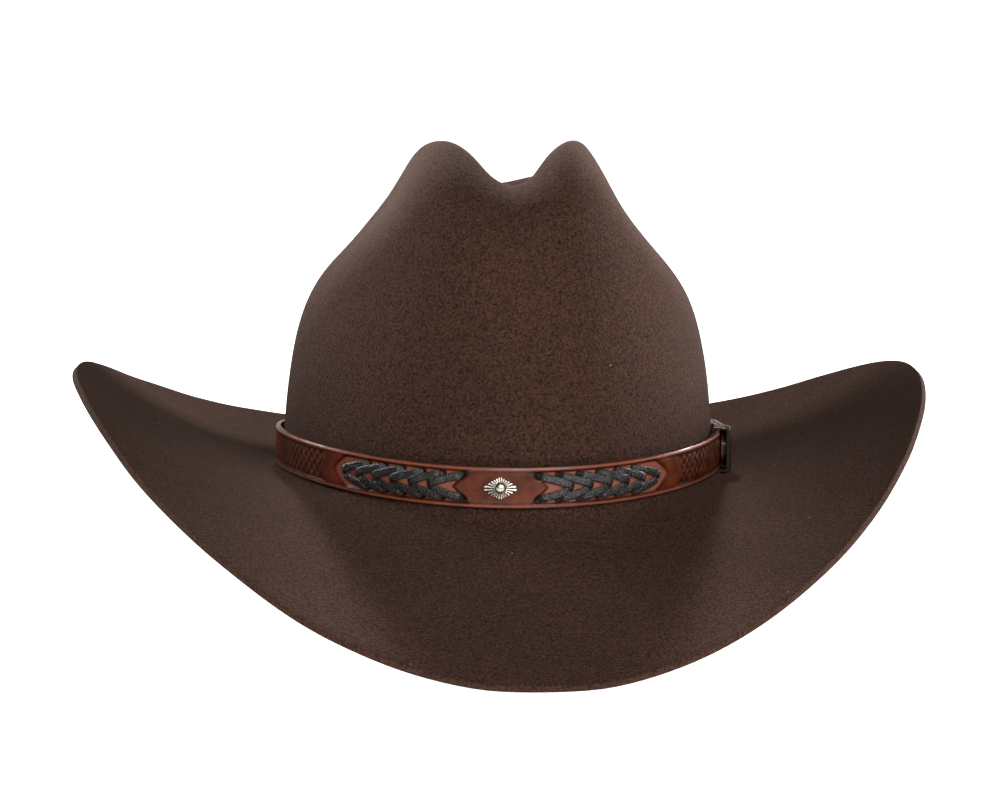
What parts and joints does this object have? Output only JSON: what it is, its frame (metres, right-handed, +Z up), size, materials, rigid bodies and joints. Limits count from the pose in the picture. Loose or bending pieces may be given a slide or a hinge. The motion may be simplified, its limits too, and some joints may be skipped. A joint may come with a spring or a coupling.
{
  "type": "cowboy hat",
  "caption": "Western felt hat with a cattleman-creased crown, curled brim, satin lining, leather sweatband, and a laced leather hatband with concho, keeper and buckle.",
  "frame": {"origin": "on the table under the middle of the hat, which stands on the front and rear edges of its brim", "axes": "+Z up, the front of the hat faces -Y, +X is the wearer's left, where the buckle is"},
  "size_m": [0.3432, 0.4014, 0.1678],
  "materials": {
    "felt": "matte",
    "strap_leather": "satin",
    "lace_leather": "satin",
    "lining_leather": "matte",
    "satin": "satin",
    "ribbon": "satin",
    "nickel_silver": "satin"
  },
  "bodies": {
    "hat": {"felt_body": "felt", "sweatband": "lining_leather", "sweatband_reed": "ribbon", "sweatband_seam_tape": "ribbon", "sweatband_bow": "ribbon", "lining_side": "satin", "lining_tip": "satin"},
    "hatband": {"hatband_strap": "strap_leather", "hatband_backing": "lining_leather", "lace_left": "lace_leather", "lace_right": "lace_leather", "concho": "nickel_silver", "concho_screw": "nickel_silver", "strap_rivet": "nickel_silver"},
    "keeper": {"keeper": "strap_leather"},
    "buckle": {"buckle_frame": "nickel_silver"},
    "tongue": {"buckle_tongue": "nickel_silver"}
  },
  "joints": [
    {"name": "hatband_lift", "type": "slide", "parent": "hat", "child": "hatband", "axis": [0, 0.1305, 0.9914], "range_m": [0, 0.16]},
    {"name": "keeper_slide", "type": "slide", "parent": "hatband", "child": "keeper", "axis": [0.2101, 0.9729, -0.0962], "range_m": [-0.004, 0.004]},
    {"name": "buckle_swing", "type": "hinge", "parent": "hatband", "child": "buckle", "pos_m": [0.08937, 0.0127, 0.0395], "axis": [0, -0.1305, -0.9914], "range_deg": [0, 5]},
    {"name": "tongue_swing", "type": "hinge", "parent": "buckle", "child": "tongue", "pos_m": [0.08937, 0.0127, 0.0395], "axis": [0, -0.1305, -0.9914], "range_deg": [0, 15]}
  ]
}
